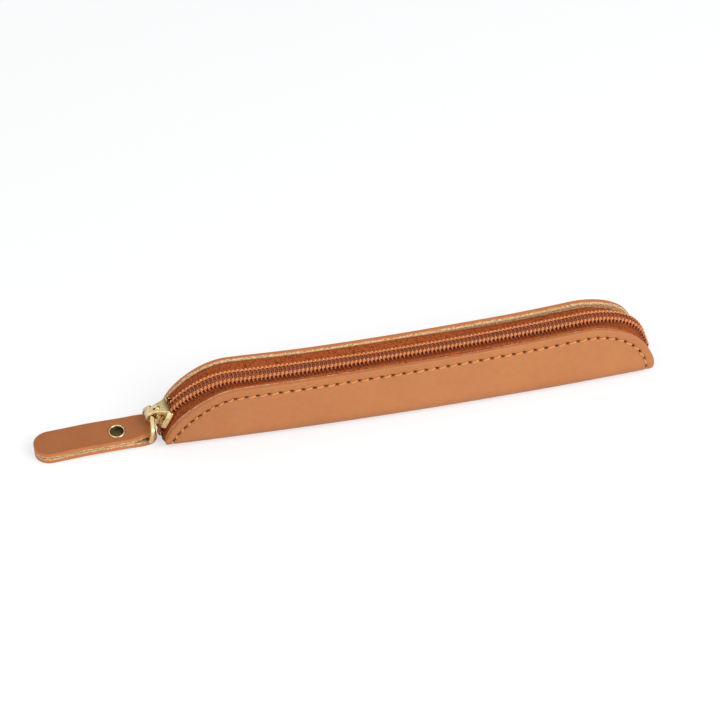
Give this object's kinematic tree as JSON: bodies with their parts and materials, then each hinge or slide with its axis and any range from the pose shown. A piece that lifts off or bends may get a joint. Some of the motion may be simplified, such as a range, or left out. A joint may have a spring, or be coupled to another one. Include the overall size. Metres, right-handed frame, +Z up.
{
  "type": "fountain pen case",
  "caption": "Slim folded leather pen case standing on its fold, closed by a coil zip over its top and ends, with a ring and riveted leather pull tab.",
  "frame": {"origin": "centre of the case's base, on the table", "axes": "+X along the case away from the closed slider, +Y across it towards the back panel, +Z up"},
  "size_m": [0.2239, 0.0264, 0.0233],
  "materials": {
    "tan_leather": "smooth tan grain, pale raw edges",
    "rust_tape": "woven polyester tape",
    "nylon_coil": "moulded nylon monofilament",
    "filler_cord": "twisted polyester cord",
    "orange_thread": "bonded sewing thread",
    "gold_metal": "polished pale gold plating",
    "spring_steel": "bare spring leaf"
  },
  "bodies": {
    "case": {"leather_shell": "tan_leather", "zip_end_tack": "orange_thread", "zip_tape_front": "rust_tape", "zip_tape_back": "rust_tape", "zip_coil_front": "nylon_coil", "zip_coil_back": "nylon_coil", "coil_cord_front": "filler_cord", "coil_cord_back": "filler_cord", "coil_sewing_front": "orange_thread", "coil_sewing_back": "orange_thread", "seam_thread_front": "orange_thread", "seam_thread_back": "orange_thread"},
    "slider": {"slider_body": "gold_metal", "slider_cap": "gold_metal", "lock_spring": "spring_steel"},
    "ring": {"pull_ring": "gold_metal"},
    "tab": {"pull_tab": "tan_leather", "rivet_cap": "gold_metal", "rivet_post": "gold_metal"}
  },
  "joints": [
    {"name": "slider_run", "type": "hinge", "parent": "case", "child": "slider", "pos_m": [-0.064, 0, -0.0036], "axis": [0, 1, 0], "range_deg": [0, 50]},
    {"name": "ring_swing", "type": "hinge", "parent": "slider", "child": "ring", "pos_m": [-0.09215, 0, 0.01031], "axis": [0, 1, 0], "range_deg": [0, 70]},
    {"name": "tab_swing", "type": "hinge", "parent": "ring", "child": "tab", "pos_m": [-0.09405, 0, 0.0029], "axis": [0, 1, 0], "range_deg": [0, 50]}
  ]
}
